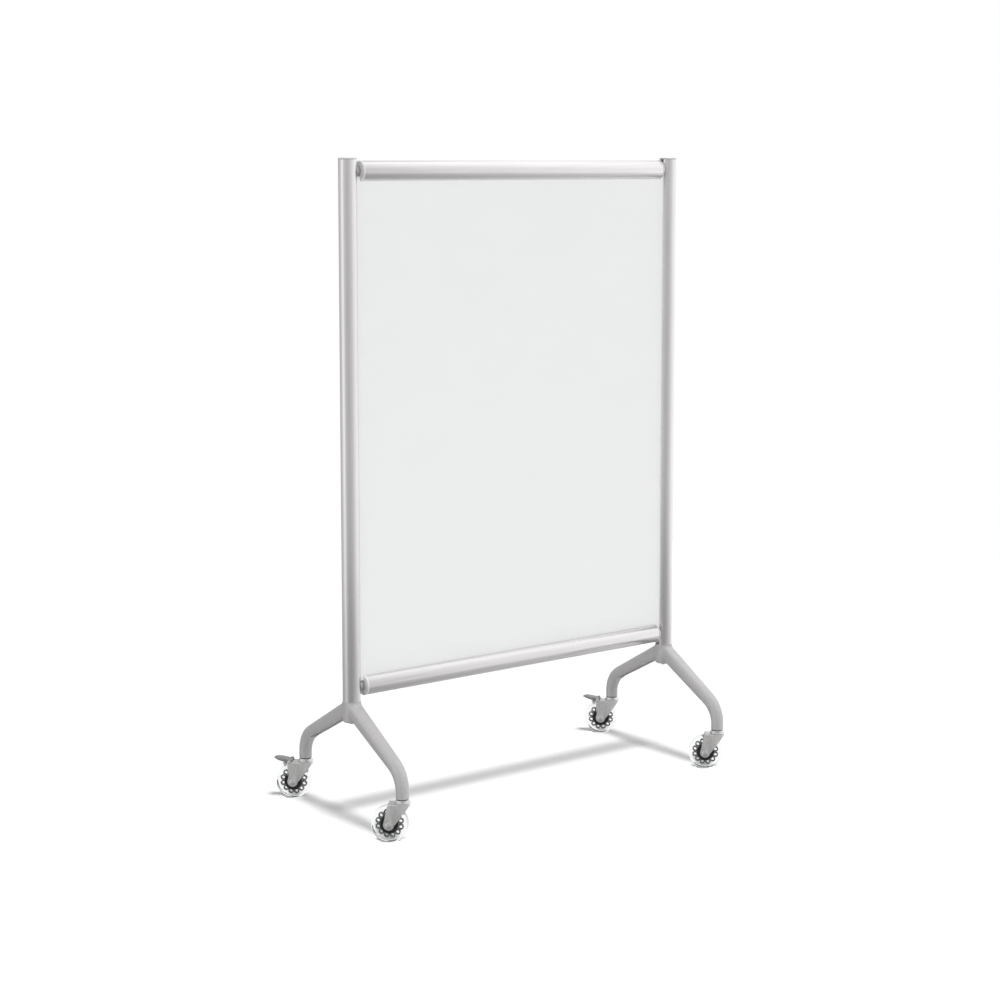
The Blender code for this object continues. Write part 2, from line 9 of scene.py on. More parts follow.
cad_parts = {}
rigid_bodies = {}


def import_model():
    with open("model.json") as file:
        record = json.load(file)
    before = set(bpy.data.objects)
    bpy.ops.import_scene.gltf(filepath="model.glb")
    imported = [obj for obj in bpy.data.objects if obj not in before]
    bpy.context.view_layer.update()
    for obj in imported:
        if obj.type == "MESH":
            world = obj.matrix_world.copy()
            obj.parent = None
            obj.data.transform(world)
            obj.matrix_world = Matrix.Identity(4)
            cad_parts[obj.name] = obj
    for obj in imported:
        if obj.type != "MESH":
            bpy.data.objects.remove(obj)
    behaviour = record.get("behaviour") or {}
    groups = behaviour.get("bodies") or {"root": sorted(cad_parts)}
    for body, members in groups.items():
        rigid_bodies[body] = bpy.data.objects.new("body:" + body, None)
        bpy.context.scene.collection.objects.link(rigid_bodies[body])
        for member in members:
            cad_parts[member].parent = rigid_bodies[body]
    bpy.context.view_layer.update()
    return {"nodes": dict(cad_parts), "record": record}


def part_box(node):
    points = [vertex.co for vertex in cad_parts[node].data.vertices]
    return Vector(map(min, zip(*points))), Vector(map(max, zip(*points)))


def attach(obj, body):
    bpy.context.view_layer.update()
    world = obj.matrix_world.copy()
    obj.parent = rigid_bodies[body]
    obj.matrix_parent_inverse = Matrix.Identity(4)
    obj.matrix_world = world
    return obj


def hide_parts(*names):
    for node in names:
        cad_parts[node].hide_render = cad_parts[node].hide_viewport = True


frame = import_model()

JOINTS = {joint["name"]: joint for joint in frame["record"]["behaviour"]["joints"]}
SIDES = ("left", "right")
ENDS = ("front", "rear")

# ---- sizes that the frame's boxes don't give, metres ----------------------------------
GAP = 0.0003
SLOT_WIDTH = 0.0106         # groove that holds the panel's edge
SLOT_DEPTH = 0.010
SLOT_LIP = 0.0007           # rounding of the groove's two lips
TUBE_WALL = 0.002
TUBE_EDGE = 0.0003          # rounding of the tubes' cut ends
NECK_RADIUS = 0.0105
SPIGOT_RADIUS = 0.0084
POST_CAP_RIM = 0.0009

LEG_APEX_Z = 0.2395         # where the legs' centre lines meet, inside the collar
LEG_SLOPE = math.radians(29.2)
LEG_BEND = 0.058
LEG_TOP_SIZE = (0.033, 0.031)
LEG_FOOT_SIZE = (0.027, 0.027)
LEG_SQUARENESS = (3.4, 2.0)
STRAIGHT_SHARE = 0.7        # of that change along the straight part of a leg
BEND_SHARE = 0.3            # and in its bend
LEG_FILLET = 0.007          # blend between the legs and the collar
COLLAR_SOFT = 0.004
BASE_VOXEL = 0.0022
RELAX_ROUNDS = 4            # smoothings of the casting's mesh
FIT_STEPS = 4               # steps back onto the field after each smoothing
CHANNEL_START = 0.036       # hollow under each leg, along its straight part
CHANNEL_DEPTH = 0.006
CHANNEL_HALF_WIDTH = 0.0105
SOCKET_BORE = 0.0093
BOLT_BORE = 0.0043

FORK_INNER = 0.0135         # half the gap between the cheeks
FORK_OUTER = 0.0165
FORK_BEND = 0.0045          # outer radius where the crown folds into the cheeks
CROWN_BOTTOM = 0.0773
CROWN_TOP = 0.0801
CROWN_REAR = 0.028
NOSE_START = 0.0118         # where the cheeks fold inwards
NOSE_INSIDE = 0.004         # a point inside the folded nose
NOSE_CENTRE = -0.0085       # of the round nose they fold towards
BEHIND_FORK = 0.06          # how far back the shapes reach that trim the fork
STEM_BORE = 0.0058
CASTER_EDGE = 0.0004        # rounding of the fork's, wheel's and pedal's edges
AXLE_BOSS = 0.011
AXLE_BORE = 0.0043
PIN_BORE = 0.0023
EAR_RADIUS = 0.0045         # of the fork round the pedal's pin

PETALS = 12
PETAL_RING = 0.0235
PETAL_RADIUS = 0.0064
PETAL_HOLE_RING = 0.0243
PETAL_HOLE = 0.0031
PETAL_HALF_WIDTH = 0.0026
TYRE_SIDES = 144
HUB_RADIUS = 0.0190
HUB_DISH = 0.0016           # depth of the recess in each face of the hub
BUSH_BORE = 0.0063

TYRE_HALF_WIDTH = 0.012
TYRE_SHOULDER = (0.0045, 0.0050)    # its rounding, in from the tread and in from the side
AXLE_HEAD = (0.0065, 0.0018)        # radius and height of the riveted heads
PIN_HEAD = (0.0032, 0.0010)

PEDAL_LENGTH = 0.036        # from the pin to the tip
PEDAL_WIDTH = 0.025
PEDAL_SHOULDER = 0.0075     # where the tread widens
PEDAL_BARREL = 0.0034
PEDAL_RIBS = 4
PEDAL_RISE = math.radians(8.5)
FLANGE_THICK = 0.0009       # zinc plates beside the pedal's root
FLANGE_GAP = 0.0003

COLLAR_BOTTOM = 0.2075
SHARP_EDGE = math.radians(38)

# ---- studio ---------------------------------------------------------------------------
CAMERA_LENS = 75.26
CAMERA_SHIFT = -0.10
CAMERA_FROM_STAND = (-2.7327, -3.5751, 1.3692)      # from the middle of the posts, on the floor
CAMERA_YAW = math.radians(36.935)
CAMERA_PITCH = math.radians(6.573)
STUDIO = 1.6                # brightest part of the room
SUN = 2.85                  # the soft light that draws the shadows on the floor
SUN_SPREAD = math.radians(15.2)
SUN_TILT = math.radians(16.8)       # from straight up towards the front
FLOOR_RADIUS = 3.0
# brightness round the room, from behind the object by its left and front to behind it again,
# and from straight down to straight up: what metal mirrors, and what lights the rest
MIRROR_AROUND = ((0.0, 0.45), (0.12, 0.42), (0.21, 0.50), (0.312, 0.90), (0.39, 0.48), (0.50, 0.42),
                 (0.61, 0.52), (0.70, 0.74), (0.80, 0.88), (0.95, 0.90), (1.0, 0.7))
MIRROR_UP = ((0.0, 0.34), (0.24, 0.50), (0.36, 0.80), (0.56, 0.79), (1.0, 0.92))
LIGHT_AROUND = ((0.0, 0.60), (0.25, 0.60), (0.5, 0.62), (0.75, 0.72), (1.0, 0.60))
LIGHT_UP = ((0.0, 0.6), (0.5, 0.95), (0.72, 0.50), (1.0, 0.24))
WORLD_TURN = math.radians(126.9)    # turns the studio so that its front faces the camera


# ---- outlines and solids --------------------------------------------------------------
def arc(centre, radius, start, end, steps):
    """Points along an arc with both ends included; angles in degrees."""
    angles = [math.radians(start + (end - start) * step / steps) for step in range(steps + 1)]
    return [(centre[0] + radius * math.cos(a), centre[1] + radius * math.sin(a)) for a in angles]


def circle(radius, sides, centre=(0.0, 0.0)):
    """Points around a circle."""
    return arc(centre, radius, 0, 360, sides)[:-1]


def rectangle(x_low, x_high, y_low, y_high):
    """The four corners of a rectangle."""
    return [(x_low, y_low), (x_high, y_low), (x_high, y_high), (x_low, y_high)]


def finished(bm):
    """A mesh from a bmesh, faces out, round faces smooth and corners sharp."""
    bmesh.ops.recalc_face_normals(bm, faces=bm.faces[:])
    mesh = bpy.data.meshes.new("solid")
    bm.to_mesh(mesh)
    bm.free()
    mesh.shade_smooth()
    mesh.set_sharp_from_angle(angle=SHARP_EDGE)
    return mesh


def prism(outlines, low, high):
    """A straight extrusion along Z: the first outline is the outside, the others are holes."""
    bm = bmesh.new()
    edges = []
    for outline in outlines:
        ring = [bm.verts.new((x, y, low)) for x, y in outline]
        edges += [bm.edges.new((ring[i - 1], ring[i])) for i in range(len(ring))]
    bmesh.ops.triangle_fill(bm, edges=edges, use_beauty=True)
    top = bmesh.ops.extrude_face_region(bm, geom=bm.faces[:])["geom"]
    moved = [item for item in top if isinstance(item, bmesh.types.BMVert)]
    bmesh.ops.translate(bm, verts=moved, vec=(0, 0, high - low))
    return finished(bm)


def turned(profile, sides, hollow=False):
    """A turned solid about Z from (radius, height) points; a hollow one closes on itself."""
    bm = bmesh.new()
    points = [bm.verts.new((radius, 0, height)) for radius, height in profile]
    pairs = list(zip(points, points[1:]))
    if hollow:
        pairs.append((points[-1], points[0]))
    edges = [bm.edges.new(pair) for pair in pairs]
    bmesh.ops.spin(bm, geom=points + edges, cent=(0, 0, 0), axis=(0, 0, 1), angle=math.tau, steps=sides)
    bmesh.ops.remove_doubles(bm, verts=bm.verts[:], dist=1e-6)
    return finished(bm)


def lofted(rings):
    """A solid through rings of points, closed by a flat face at each end."""
    bm = bmesh.new()
    layers = [[bm.verts.new(point) for point in ring] for ring in rings]
    count = len(layers[0])
    for lower, upper in zip(layers, layers[1:]):
        for i in range(count):
            bm.faces.new((lower[i - 1], lower[i], upper[i], upper[i - 1]))
    bm.faces.new(layers[0])
    bm.faces.new(layers[-1])
    return finished(bm)


def modified(mesh, *modifiers):
    """The mesh after modifiers, each given as (type, settings)."""
    body = bpy.data.objects.new("body", mesh)
    bpy.context.collection.objects.link(body)
    for kind, settings in modifiers:
        modifier = body.modifiers.new(kind.lower(), kind)
        for name, value in settings.items():
            setattr(modifier, name, value)
    result = bpy.data.meshes.new_from_object(body.evaluated_get(bpy.context.evaluated_depsgraph_get()))
    bpy.data.objects.remove(body, do_unlink=True)
    return result


def combined(mesh, operation, *tools):
    """The mesh after an exact Boolean with each tool mesh in turn."""
    helpers = []
    cuts = []
    for tool in tools:
        helper = bpy.data.objects.new("tool", tool)
        bpy.context.collection.objects.link(helper)
        helpers.append(helper)
        cuts.append(("BOOLEAN", {"operation": operation, "solver": "EXACT", "object": helper}))
    result = modified(mesh, *cuts)
    for helper in helpers:
        bpy.data.objects.remove(helper, do_unlink=True)
    bm = bmesh.new()
    bm.from_mesh(result)
    bmesh.ops.dissolve_degenerate(bm, edges=bm.edges[:], dist=1e-6)
    return finished(bm)


def bevelled(mesh, width, segments=2, angle=40):
    """The mesh with its sharp edges rounded."""
    settings = {"width": width, "segments": segments, "limit_method": "ANGLE",
                "angle_limit": math.radians(angle), "use_clamp_overlap": True}
    result = modified(mesh, ("BEVEL", settings))
    result.shade_smooth()
    result.set_sharp_from_angle(angle=SHARP_EDGE)
    return result


def along_y(mesh):
    """Lay a solid that was built along Z onto Y."""
    mesh.transform(Matrix.Rotation(math.radians(-90), 4, "X"))
    return mesh


def side_cut(outline, half_width):
    """A plate seen from the side: outline points are (x, z), thickness runs along Y."""
    mesh = prism([outline], -half_width, half_width)
    mesh.transform(Matrix.Rotation(math.radians(90), 4, "X"))
    return mesh


# ---- materials ------------------------------------------------------------------------
class Finish:
    """A Principled material and the few nodes that give it its grain."""

    def __init__(self, name, colour, metallic, roughness, **sockets):
        self.material = bpy.data.materials.new(name)
        self.material.use_nodes = True
        self.tree = self.material.node_tree
        self.shader = self.tree.nodes["Principled BSDF"]
        self.colour = colour
        self.shader.inputs["Base Color"].default_value = (*colour, 1.0)
        self.shader.inputs["Metallic"].default_value = metallic
        self.shader.inputs["Roughness"].default_value = roughness
        for socket, value in sockets.items():
            self.shader.inputs[socket.replace("_", " ")].default_value = value
        self.place = self.tree.nodes.new("ShaderNodeTexCoord").outputs["Object"]

    def stretched(self, scale):
        """Object coordinates in metres, stretched along some axes."""
        mapping = self.tree.nodes.new("ShaderNodeMapping")
        mapping.inputs["Scale"].default_value = scale
        self.tree.links.new(self.place, mapping.inputs["Vector"])
        return mapping.outputs["Vector"]

    def noise(self, scale, detail=3.0, roughness=0.5, stretch=(1, 1, 1)):
        """A noise of that many cells to a metre, from 0 to 1."""
        texture = self.tree.nodes.new("ShaderNodeTexNoise")
        texture.inputs["Scale"].default_value = scale
        texture.inputs["Detail"].default_value = detail
        texture.inputs["Roughness"].default_value = roughness
        self.tree.links.new(self.stretched(stretch), texture.inputs["Vector"])
        return texture.outputs["Fac"]

    def cells(self, scale):
        """A random grey for each of the cells."""
        texture = self.tree.nodes.new("ShaderNodeTexVoronoi")
        texture.inputs["Scale"].default_value = scale
        self.tree.links.new(self.place, texture.inputs["Vector"])
        return texture.outputs["Color"]

    def ranged(self, value, low, high, start=0.3, end=0.7):
        """The value spread from low to high."""
        spread = self.tree.nodes.new("ShaderNodeMapRange")
        spread.inputs["From Min"].default_value = start
        spread.inputs["From Max"].default_value = end
        spread.inputs["To Min"].default_value = low
        spread.inputs["To Max"].default_value = high
        self.tree.links.new(value, spread.inputs["Value"])
        return spread.outputs["Result"]

    def tint(self, value, dark, light, start=0.3, end=0.7):
        """The base colour runs from dark to light shares of itself with the value."""
        ramp = self.tree.nodes.new("ShaderNodeValToRGB")
        ramp.color_ramp.elements[0].position = start
        ramp.color_ramp.elements[1].position = end
        for element, share in zip(ramp.color_ramp.elements, (dark, light)):
            element.color = (*[min(1.0, channel * share) for channel in self.colour], 1.0)
        self.tree.links.new(value, ramp.inputs["Fac"])
        self.tree.links.new(ramp.outputs["Color"], self.shader.inputs["Base Color"])
        return self

    def rough(self, value, low, high):
        """Roughness runs from low to high with the value."""
        self.tree.links.new(self.ranged(value, low, high), self.shader.inputs["Roughness"])
        return self

    def bump(self, value, depth, strength=0.5):
        """A fine relief of that depth in metres."""
        relief = self.tree.nodes.new("ShaderNodeBump")
        relief.inputs["Strength"].default_value = strength
        relief.inputs["Distance"].default_value = depth
        self.tree.links.new(value, relief.inputs["Height"])
        self.tree.links.new(relief.outputs["Normal"], self.shader.inputs["Normal"])
        return self


def satin_aluminium():
    """Anodised tube: fine lines along its length and a slow change of sheen."""
    finish = Finish("satin_aluminium", (0.80, 0.785, 0.785), 1.0, 0.26)
    lines = finish.noise(900, 4, 0.6, (1, 1, 0.01))
    finish.tint(lines, 0.93, 1.05)
    finish.rough(finish.noise(14, 2, 0.5, (1, 1, 0.25)), 0.24, 0.32)
    return finish.bump(lines, 0.00003, 0.25).material


def whiteboard_enamel():
    """Glossy white enamel on steel, with a trace of wiping and a slight orange peel."""
    finish = Finish("whiteboard_enamel", (0.76, 0.765, 0.765), 0.0, 0.16,
                    Coat_Weight=0.25, Coat_Roughness=0.06)
    finish.tint(finish.noise(5, 5, 0.6, (1, 1, 2.2)), 0.985, 1.0)
    finish.rough(finish.noise(11, 4, 0.6, (0.35, 1, 1.6)), 0.13, 0.24)
    return finish.bump(finish.noise(260, 2), 0.00002, 0.15).material


def honeycomb_board():
    """The core: brown paper board."""
    finish = Finish("core_board", (0.55, 0.45, 0.33), 0.0, 0.85)
    finish.tint(finish.noise(160, 5, 0.6, (1, 1, 0.2)), 0.8, 1.1)
    return finish.bump(finish.cells(420), 0.0002, 0.4).material


def base_paint():
    """Grey metallic powder coat: flakes in the colour and a fine texture."""
    finish = Finish("grey_metallic_paint", (0.445, 0.435, 0.44), 0.35, 0.42,
                    Coat_Weight=0.12, Coat_Roughness=0.25)
    finish.tint(finish.noise(750, 2), 0.80, 1.18)
    finish.rough(finish.noise(60, 3), 0.34, 0.46)
    return finish.bump(finish.noise(1300, 3), 0.00005, 0.22).material


def zinc_plate(name, colour, low, high):
    """Bright zinc over rolled steel: cloudy sheen and faint rolling lines."""
    finish = Finish(name, colour, 1.0, (low + high) / 2)
    finish.tint(finish.noise(240, 4, 0.65, (1, 1, 0.35)), 0.84, 1.08)
    finish.rough(finish.noise(420, 3), low, high)
    return finish.bump(finish.noise(900, 3), 0.00004, 0.25).material


def moulded(name, colour, roughness, grain, depth):
    """Moulded plastic: an even colour, a fine texture and a slight change of gloss."""
    finish = Finish(name, colour, 0.0, roughness)
    finish.tint(finish.noise(70, 3), 0.94, 1.05)
    finish.rough(finish.noise(35, 2), roughness * 0.85, roughness * 1.15)
    return finish.bump(finish.noise(grain, 2), depth, 0.3).material


def clear_polyurethane():
    """The tyre: clear, slightly milky and soft on its surface."""
    finish = Finish("clear_polyurethane", (0.93, 0.945, 0.945), 0.0, 0.05,
                    Transmission_Weight=0.90, IOR=1.22)
    finish.tint(finish.noise(45, 2), 0.965, 1.0)
    return finish.rough(finish.noise(120, 3), 0.02, 0.10).material


def pedal_coat():
    """Dark coated steel, scuffed lighter where shoes touch it."""
    finish = Finish("pedal_coat", (0.185, 0.182, 0.185), 0.25, 0.42)
    finish.tint(finish.noise(260, 5, 0.7), 0.80, 1.45)
    finish.rough(finish.noise(180, 3), 0.34, 0.52)
    return finish.bump(finish.noise(1400, 2), 0.00005, 0.3).material


FINISHES = {
    "frame": satin_aluminium(),
    "post_cap": moulded("post_cap_grey", (0.52, 0.515, 0.515), 0.38, 1200, 0.00004),
    "rail_end_cap": moulded("end_cap_grey", (0.66, 0.66, 0.66), 0.36, 1200, 0.00004),
    "connector": zinc_plate("dull_zinc", (0.46, 0.455, 0.45), 0.28, 0.40),
    "writing_surface": whiteboard_enamel(),
    "panel_core": honeycomb_board(),
    "base": base_paint(),
    "fastener": zinc_plate("fastener_zinc", (0.62, 0.62, 0.62), 0.24, 0.36),
    "socket": moulded("socket_nylon", (0.03, 0.03, 0.03), 0.5, 1500, 0.00004),
    "caster_steel": zinc_plate("zinc_plated_steel", (0.76, 0.75, 0.745), 0.26, 0.40),
    "pin_steel": zinc_plate("bright_steel", (0.74, 0.74, 0.74), 0.18, 0.30),
    "wheel_core": moulded("black_nylon", (0.012, 0.012, 0.013), 0.42, 1500, 0.00004),
    "tyre": clear_polyurethane(),
    "pedal": pedal_coat(),
}

# darker, rougher zinc for the fork's inner faces: the darkness is painted shade between the cheeks and under
# the crown
FORK_PAINTED_SHADE = zinc_plate("fork_inside_painted_shade", (0.30, 0.295, 0.29), 0.45, 0.60)


def add(name, mesh, slot, body, nodes, place=Matrix.Identity(4)):
    """A visible piece that rides on a body and stands for CAD nodes."""
    mesh.materials.clear()
    mesh.materials.append(FINISHES[slot])
    piece = bpy.data.objects.new(name, mesh)
    bpy.context.collection.objects.link(piece)
    piece.matrix_world = place
    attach(piece, body)
    if nodes:
        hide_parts(*nodes)
    return piece


# ---- frame ----------------------------------------------------------------------------
def middle(node):
    """The centre of a CAD node's box."""
    low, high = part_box(node)
    return (low + high) / 2


def grooved_outline(radius, half_width, floor, lip, steps=96):
    """A circle with a groove from +X down to x = floor, with rounded lips."""
    lip_y = half_width + lip
    lip_x = math.sqrt((radius - lip) ** 2 - lip_y ** 2)
    edge = math.degrees(math.atan2(lip_y, lip_x))
    return (arc((0, 0), radius, edge, 360 - edge, steps)
            + arc((lip_x, -lip_y), lip, -edge, 90, 5)[1:]
            + [(floor, -half_width), (floor, half_width)]
            + arc((lip_x, lip_y), lip, -90, edge, 5)[:-1])


def tube_outlines(radius):
    """Outside and inside of the extruded tube, whose groove opens towards +X."""
    groove = SLOT_WIDTH / 2
    floor = radius - SLOT_DEPTH
    outside = grooved_outline(radius, groove, floor, SLOT_LIP)
    inside = grooved_outline(radius - TUBE_WALL, groove + TUBE_WALL, floor - TUBE_WALL, 0.0003, 60)
    return [outside, inside]


def tube_plug_outline(radius):
    """A round shape with one flat that slides into the tube behind its groove."""
    inner = radius - TUBE_WALL - GAP
    flat = radius - SLOT_DEPTH - TUBE_WALL - GAP
    edge = math.degrees(math.acos(flat / inner))
    return arc((0, 0), inner, edge, 360 - edge, 48)


def post_cap_mesh(radius, thick, plug_depth):
    """A disc with a rounded rim and a shallow dish over a plug that fits the post."""
    rim = arc((radius - POST_CAP_RIM, thick - POST_CAP_RIM), POST_CAP_RIM, 0, 90, 6)
    dish = [(radius * 0.80, thick), (radius * 0.76, thick - 0.0004), (0, thick - 0.0004)]
    disc = turned([(0, 0), (radius - 0.0004, 0), (radius, 0.0004)] + rim + dish, 96)
    plug = prism([tube_plug_outline(radius)], -plug_depth, thick / 2)
    return combined(disc, "UNION", plug)


def rail_end_cap_mesh(cap_radius, rail_radius, thick):
    """A domed disc with a hole for the connector and a notch for the panel."""
    outline = grooved_outline(cap_radius, SLOT_WIDTH / 2, rail_radius - SLOT_DEPTH, SLOT_LIP)
    disc = prism([outline, circle(SPIGOT_RADIUS + GAP, 48)], 0, thick)
    edge = thick * 0.3
    dome = [(cap_radius * math.sin(a), edge + (thick - edge) * math.cos(a))
            for a in (math.pi / 2 * step / 16 for step in range(16, 3, -1))]
    profile = [(0, -0.001), (cap_radius + 0.001, -0.001), (cap_radius + 0.001, edge)] + dome + [(0, thick)]
    return bevelled(combined(disc, "INTERSECT", turned(profile, 96)), 0.0003, 2)


def connector_mesh(spigot_end, cap_outer, to_post, post_radius):
    """Joins the right end of a rail to its post; heights are distances from the rail's middle."""
    chamfer = 0.001
    profile = [(0, spigot_end), (SPIGOT_RADIUS - chamfer, spigot_end), (SPIGOT_RADIUS, spigot_end + chamfer),
               (SPIGOT_RADIUS, cap_outer + GAP), (NECK_RADIUS - 0.0006, cap_outer + GAP),
               (NECK_RADIUS, cap_outer + GAP + 0.0006), (NECK_RADIUS, to_post), (0, to_post)]
    body = turned(profile, 64)
    body.transform(Matrix.Rotation(math.radians(90), 4, "Y"))
    post = prism([circle(post_radius + GAP, 128)], -0.03, 0.03)
    post.transform(Matrix.Translation((to_post, 0, 0)))
    half_tongue = SLOT_WIDTH / 2 - GAP
    tongue_end = to_post - (post_radius - SLOT_DEPTH) - GAP
    tongue = prism([rectangle(cap_outer + 0.002, tongue_end, -half_tongue, half_tongue)],
                   0.0002 - NECK_RADIUS, NECK_RADIUS - 0.0002)
    return combined(combined(body, "DIFFERENCE", post), "UNION", tongue)


def half_turn(turned_over):
    """A half turn about Z, or nothing."""
    return Matrix.Rotation(math.pi if turned_over else 0, 4, "Z")


def make_posts():
    """Both posts with their caps."""
    low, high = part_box("left_post")
    radius = (high.y - low.y) / 2
    tube = bevelled(prism(tube_outlines(radius), low.z, high.z), TUBE_EDGE, 2, 60)
    cap_low, cap_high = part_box("left_post_cap")
    thick = cap_high.z - high.z - GAP
    cap = post_cap_mesh(radius, thick, cap_high.z - thick - cap_low.z)
    for side in SIDES:
        centre = middle(side + "_base")
        turn = half_turn(side == "right")
        place = Matrix.Translation((centre.x, centre.y, 0)) @ turn
        add(f"{side}_post_tube", tube, "frame", "root", [side + "_post"], place)
        place = Matrix.Translation((centre.x, centre.y, cap_high.z - thick)) @ turn
        add(f"{side}_post_top_cap", cap, "post_cap", "root", [side + "_post_cap"], place)


def make_rails():
    """Both rails, grooves facing each other, with end caps and connectors."""
    low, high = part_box("top_rail")
    radius = (high.y - low.y) / 2
    half = (high.x - low.x) / 2
    tube = bevelled(prism(tube_outlines(radius), -half, half), TUBE_EDGE, 2, 60)
    cap_low, cap_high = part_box("top_rail_right_end_cap")
    thick = cap_high.x - cap_low.x
    cap = rail_end_cap_mesh((cap_high.y - cap_low.y) / 2, radius, thick)
    post_low, post_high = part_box("right_post")
    to_post = middle("right_base").x - middle("top_rail").x
    spigot_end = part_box("top_rail_right_connector")[0].x - middle("top_rail").x
    connector = connector_mesh(spigot_end, cap_high.x - middle("top_rail").x, to_post,
                               (post_high.y - post_low.y) / 2)
    for level, sign in (("top", 1), ("bottom", -1)):
        x = middle(level + "_rail").x
        y = middle(level + "_rail_right_connector").y
        z = middle(level + "_rail_right_connector").z
        lying = Matrix.Translation((x, y, z)) @ Matrix.Rotation(sign * math.pi / 2, 4, "Y")
        add(f"{level}_rail_tube", tube, "frame", "root", [level + "_rail"], lying)
        for side in SIDES:
            right = side == "right"
            ring_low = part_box(f"{level}_rail_{side}_end_cap")[0].x
            outward = Matrix.Translation((ring_low if right else ring_low + thick, y, z))
            outward = outward @ Matrix.Rotation(math.pi / 2 if right else -math.pi / 2, 4, "Y")
            outward = outward @ half_turn(right != (sign > 0))
            add(f"{level}_{side}_end_ring", cap, "rail_end_cap", "root",
                [f"{level}_rail_{side}_end_cap"], outward)
            place = Matrix.Translation((x, y, z)) @ half_turn(not right)
            add(f"{level}_{side}_neck", connector, "connector", "root",
                [f"{level}_rail_{side}_connector"], place)


# ---- bases ----------------------------------------------------------------------------
def leg_section(share):
    """Half width, half depth and squareness of a leg, that share of the way down to its foot."""
    pairs = [*zip(LEG_TOP_SIZE, LEG_FOOT_SIZE), LEG_SQUARENESS]
    width, depth, squareness = [top * (1 - share) + foot * share for top, foot in pairs]
    return width / 2, depth / 2, squareness


def turned_back(mesh):
    """A copy of the mesh after a half turn about Z."""
    copy = mesh.copy()
    copy.transform(half_turn(True))
    return copy


class BaseShape:
    """The casting as a smooth field about the post's axis: two swept legs and a collar."""

    def __init__(self, foot_y, collar_radius, collar_low, collar_top, leg_low):
        self.foot_y = foot_y
        self.radius = collar_radius
        self.low = collar_low
        self.top = collar_top
        self.leg_low = leg_low
        self.bend_y = foot_y - LEG_BEND
        self.start_y = self.bend_y + LEG_BEND * math.sin(LEG_SLOPE)
        rise = LEG_BEND * math.cos(LEG_SLOPE)
        self.bend_z = LEG_APEX_Z - self.start_y * math.tan(LEG_SLOPE) - rise
        self.straight = self.start_y / math.cos(LEG_SLOPE)

    def leg(self, x, y, z):
        """Roughly the distance to the leg that runs towards +Y, negative inside."""
        along = y * math.cos(LEG_SLOPE) - (z - LEG_APEX_Z) * math.sin(LEG_SLOPE)
        offset = y * math.sin(LEG_SLOPE) + (z - LEG_APEX_Z) * math.cos(LEG_SLOPE)
        share = np.clip(along / self.straight, 0, 1) * STRAIGHT_SHARE
        around_y, around_z = y - self.bend_y, z - self.bend_z
        lean = np.arctan2(around_y, around_z)
        in_bend = (along > self.straight) & (around_z > 0)
        below = (around_z <= 0) & (y > 0)
        turn = np.clip((lean - LEG_SLOPE) / (math.pi / 2 - LEG_SLOPE), 0, 1)
        offset = np.where(in_bend, np.hypot(around_y, around_z) - LEG_BEND, offset)
        share = np.where(in_bend, STRAIGHT_SHARE + BEND_SHARE * turn, share)
        offset = np.where(below, y - self.foot_y, offset)
        share = np.where(below, 1.0, share)
        half_x, half_n, power = leg_section(share)
        reach = np.abs(x / half_x) ** power + np.abs(offset / half_n) ** power
        distance = (reach ** (1 / power) - 1) * half_n
        return np.maximum(distance, -along)

    def field(self, points):
        """Roughly the distance to the whole casting."""
        x, y, z = points.T
        side = np.hypot(x, y) - self.radius
        deep = self.low - z
        corner = np.hypot(np.maximum(side + COLLAR_SOFT, 0), np.maximum(deep + COLLAR_SOFT, 0))
        collar = corner - COLLAR_SOFT + np.minimum(np.maximum(side, deep) + COLLAR_SOFT, 0)
        parts = np.stack([collar, self.leg(x, y, z), self.leg(x, -y, z)])
        nearest = parts.min(0)
        blend = LEG_FILLET / 4
        blended = nearest - blend * np.log(np.exp((nearest - parts) / blend).sum(0))
        return np.maximum(blended, np.abs(x) - self.radius)

    def slope(self, points, step=2e-5):
        """The field's gradient."""
        columns = []
        for axis in np.eye(3):
            columns.append((self.field(points + axis * step) - self.field(points - axis * step)) / (2 * step))
        return np.stack(columns, 1)

    def ring(self, y, z, lean, share):
        """One ring of the blank for a leg."""
        half_x, half_n, squareness = leg_section(share)
        power = 2 / squareness
        across = Vector((0, math.sin(lean), math.cos(lean)))
        points = []
        for x, n in circle(1.0, 48):
            shift = across * math.copysign(abs(n) ** power, n) * half_n
            points.append(Vector((math.copysign(abs(x) ** power, x) * half_x, y, z)) + shift)
        return points

    def blank(self):
        """Collar and legs as one rough solid, a little longer than the finished one."""
        extra = 0.008
        rings = []
        for step in range(8):
            y = 0.004 + (self.start_y - 0.004) * step / 8
            place = (y, LEG_APEX_Z - y * math.tan(LEG_SLOPE))
            rings.append(self.ring(*place, LEG_SLOPE, STRAIGHT_SHARE * step / 8))
        for step in range(13):
            lean = LEG_SLOPE + (math.pi / 2 - LEG_SLOPE) * step / 12
            place = (self.bend_y + LEG_BEND * math.sin(lean), self.bend_z + LEG_BEND * math.cos(lean))
            rings.append(self.ring(*place, lean, STRAIGHT_SHARE + BEND_SHARE * step / 12))
        rings.append(self.ring(self.foot_y, self.leg_low - extra, math.pi / 2, 1.0))
        rear = lofted(rings)
        collar = turned([(0, self.low), (self.radius, self.low), (self.radius, self.top + extra),
                         (0, self.top + extra)], 64)
        return combined(collar, "UNION", turned_back(rear), rear)

    def channel(self):
        """The hollow along the underside of the straight part of the rear leg."""
        corners = []
        for along, depth in ((CHANNEL_START, -0.004), (self.straight, -0.004),
                             (self.straight, CHANNEL_DEPTH), (CHANNEL_START, CHANNEL_DEPTH)):
            share = STRAIGHT_SHARE * along / self.straight
            offset = depth - leg_section(share)[1]
            corners.append((along * math.cos(LEG_SLOPE) + offset * math.sin(LEG_SLOPE),
                            LEG_APEX_Z - along * math.sin(LEG_SLOPE) + offset * math.cos(LEG_SLOPE)))
        return along_x(corners, -CHANNEL_HALF_WIDTH, CHANNEL_HALF_WIDTH)

